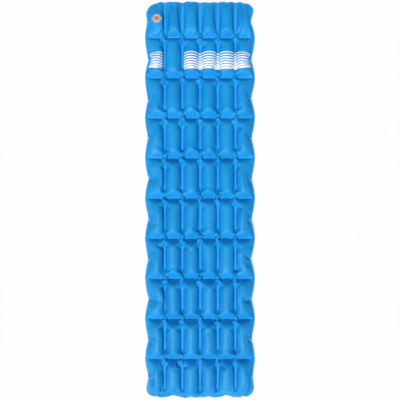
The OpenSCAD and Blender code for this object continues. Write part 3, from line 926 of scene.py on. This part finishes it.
# %% Cover materials
VALVE_MARK_R, VALVE_MARK_BLUR = 0.024, 0.0005
MARK_LOW, MARK_HIGH = 0.70, 0.95
DRIFT_SCALE, FLECK_SCALE = 7.0, 60.0
RIB_LIGHTER, WELD_HIGHLIGHT_SHARE = 0.10, 0.65
SATIN, SATIN_STRAY, WELD_SMOOTHER = 0.46, 0.08, 0.08
PRINT_KEEPS, PRINT_STRAY, PRINT_ROUGHER = 0.94, 0.06, 0.08
FABRIC_GLOSS, HATCH_HEIGHT, BUMP_SHARE, BUMP_DEPTH = 0.19, 1.6, 0.35, 0.00012
STRIPE_TONE = (0.92, 0.94, 0.95, 1.0)
# Each set of tones ends with the welds' lighter tone, which is a painted highlight.
TOP_TONES = ((0.005, 0.258, 0.640), (0.011, 0.300, 0.705), (0.036, 0.355, 0.740))
UNDER_TONES = ((0.012, 0.190, 0.540), (0.018, 0.225, 0.610), (0.025, 0.260, 0.680))


def valve_weld(tree, place):
    """1 where the top sheet is welded to the valve's flange."""
    u, v, _ = parts(tree, place)
    across_off = calc(tree, "SUBTRACT", u, float(valve_cut[0]))
    along_off = calc(tree, "SUBTRACT", v, float(valve_cut[1]))
    squares = [calc(tree, "MULTIPLY", off, off) for off in (across_off, along_off)]
    reach = calc(tree, "SQRT", calc(tree, "ADD", *squares))
    return soft_step(tree, reach, VALVE_MARK_R + VALVE_MARK_BLUR, VALVE_MARK_R - VALVE_MARK_BLUR)


def cover_fabric(name, tones, on_top):
    """Satin nylon with weave, slow tone changes and pressed welds. Tones: deep, light and a lighter
    weld tone that is a painted highlight.
    """
    material = bpy.data.materials.new(name)
    material.use_nodes = True
    tree = material.node_tree
    body = tree.nodes["Principled BSDF"]
    place_node = tree.nodes.new("ShaderNodeAttribute")
    place_node.attribute_name = "cut"
    place = place_node.outputs["Vector"]
    weld_node = tree.nodes.new("ShaderNodeAttribute")
    weld_node.attribute_name = "weld"
    weld = soft_step(tree, weld_node.outputs["Fac"], MARK_LOW, MARK_HIGH)
    if on_top:
        weld = calc(tree, "MAXIMUM", weld, valve_weld(tree, place))
    deep, light, weld_highlight_tone = [(*tone, 1.0) for tone in tones]
    drift = use(tree, DRIFT, Place=place, Scale=DRIFT_SCALE)["Value"]
    fleck = use(tree, DRIFT, Place=place, Scale=FLECK_SCALE)["Value"]
    weave = use(tree, WEAVE, Place=place)
    hatch = use(tree, HATCHING, Place=place)["Height"]
    tone = tone_mix(tree, drift, deep, light)
    tone = tone_mix(tree, calc(tree, "MULTIPLY", weave["Rib"], RIB_LIGHTER), tone, light)
    # Welds lean to their lighter tone: a painted highlight.
    tone = tone_mix(tree, calc(tree, "MULTIPLY", weld, WELD_HIGHLIGHT_SHARE), tone, weld_highlight_tone)
    shine = calc(tree, "MULTIPLY_ADD", fleck, SATIN_STRAY, SATIN)
    shine = calc(tree, "SUBTRACT", shine, calc(tree, "MULTIPLY", weld, WELD_SMOOTHER))
    if on_top:
        mask = stripe_mask(tree, place)
        worn = calc(tree, "MULTIPLY", mask, calc(tree, "MULTIPLY_ADD", fleck, PRINT_STRAY, PRINT_KEEPS))
        tone = tone_mix(tree, worn, tone, STRIPE_TONE)
        shine = calc(tree, "MULTIPLY_ADD", mask, PRINT_ROUGHER, shine)
    wire(tree, tone, body.inputs["Base Color"])
    wire(tree, shine, body.inputs["Roughness"])
    body.inputs["Specular IOR Level"].default_value = FABRIC_GLOSS
    pressed = calc(tree, "MULTIPLY", weld, calc(tree, "MULTIPLY", hatch, HATCH_HEIGHT))
    open_weave = calc(tree, "MULTIPLY", calc(tree, "SUBTRACT", 1.0, weld), weave["Height"])
    bump = tree.nodes.new("ShaderNodeBump")
    bump.inputs["Strength"].default_value = BUMP_SHARE
    bump.inputs["Distance"].default_value = BUMP_DEPTH
    wire(tree, calc(tree, "ADD", pressed, open_weave), bump.inputs["Height"])
    wire(tree, bump.outputs[0], body.inputs["Normal"])
    return material


top_fabric = cover_fabric("top_fabric", TOP_TONES, True)
under_fabric = cover_fabric("under_fabric", UNDER_TONES, False)
top_piece.data.materials.append(top_fabric)
bottom_piece.data.materials.append(under_fabric)
print("fabrics", top_fabric.name, under_fabric.name)

# %% [markdown]
# ## Valve
# The valve's pieces are small rigid mouldings, and the solids already have their shapes. They
# keep those and get finishes: grained grey plastic for the flange, the ring and the stopper, a warm
# orange plug, dark rubber for the sealing ring and milky silicone for the flap.

# %% Valve finishes
WEAR_SHARE, WEAR_ROUGHER = 0.5, 0.10
PLASTIC_GLOSS, GRAIN_SHARE, SOFT_RADIUS = 0.5, 0.4, 0.002


def moulded(name, tone, worn_tone, shine, grain_depth=0.00005, see_through=0.0):
    """Moulded plastic or rubber with fine grain and lighter worn patches."""
    material = bpy.data.materials.new(name)
    material.use_nodes = True
    tree = material.node_tree
    body = tree.nodes["Principled BSDF"]
    place = tree.nodes.new("ShaderNodeTexCoord").outputs["Object"]
    grain = use(tree, GRAIN, Place=place)
    wear = calc(tree, "MULTIPLY", grain["Wear"], WEAR_SHARE)
    wire(tree, tone_mix(tree, wear, (*tone, 1.0), (*worn_tone, 1.0)), body.inputs["Base Color"])
    wire(tree, calc(tree, "MULTIPLY_ADD", grain["Wear"], WEAR_ROUGHER, shine), body.inputs["Roughness"])
    body.inputs["Specular IOR Level"].default_value = PLASTIC_GLOSS
    body.inputs["Subsurface Weight"].default_value = see_through
    body.inputs["Subsurface Radius"].default_value = (SOFT_RADIUS, SOFT_RADIUS, SOFT_RADIUS)
    bump = tree.nodes.new("ShaderNodeBump")
    bump.inputs["Strength"].default_value = GRAIN_SHARE
    bump.inputs["Distance"].default_value = grain_depth
    wire(tree, grain["Height"], bump.inputs["Height"])
    wire(tree, bump.outputs[0], body.inputs["Normal"])
    return material


finishes = {
    "valve_flange": moulded("grey_moulding", (0.42, 0.44, 0.46), (0.50, 0.52, 0.54), 0.42),
    "tether_ring": moulded("dark_moulding", (0.36, 0.37, 0.39), (0.44, 0.45, 0.47), 0.48),
    "deflate_stopper": moulded("light_moulding", (0.50, 0.51, 0.52), (0.58, 0.59, 0.60), 0.40),
    "stopper_seal": moulded("seal_rubber", (0.030, 0.031, 0.033), (0.06, 0.06, 0.065), 0.62, 0.00003),
    "check_flap": moulded("flap_silicone", (0.72, 0.74, 0.75), (0.80, 0.82, 0.82), 0.35, 0.00002, 0.3),
    "inflate_plug": moulded("orange_moulding", (0.50, 0.185, 0.105), (0.56, 0.25, 0.16), 0.38),
}
for node, finish in finishes.items():
    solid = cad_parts[node]
    if not solid.material_slots:
        solid.data.materials.append(finish)
    for slot in solid.material_slots:
        slot.material = finish
print("valve finishes", len(finishes))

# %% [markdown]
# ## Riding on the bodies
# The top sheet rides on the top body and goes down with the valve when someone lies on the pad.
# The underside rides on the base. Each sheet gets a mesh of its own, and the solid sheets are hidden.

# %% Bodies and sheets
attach(top_piece, "top")
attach(bottom_piece, "base")
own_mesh(top_piece)
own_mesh(bottom_piece)
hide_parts("top_sheet")
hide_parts("bottom_sheet")

# %% Sizes of the dressed pad
low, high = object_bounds()
print("dressed pad reaches from", [round(x, 4) for x in low], "to", [round(x, 4) for x in high])
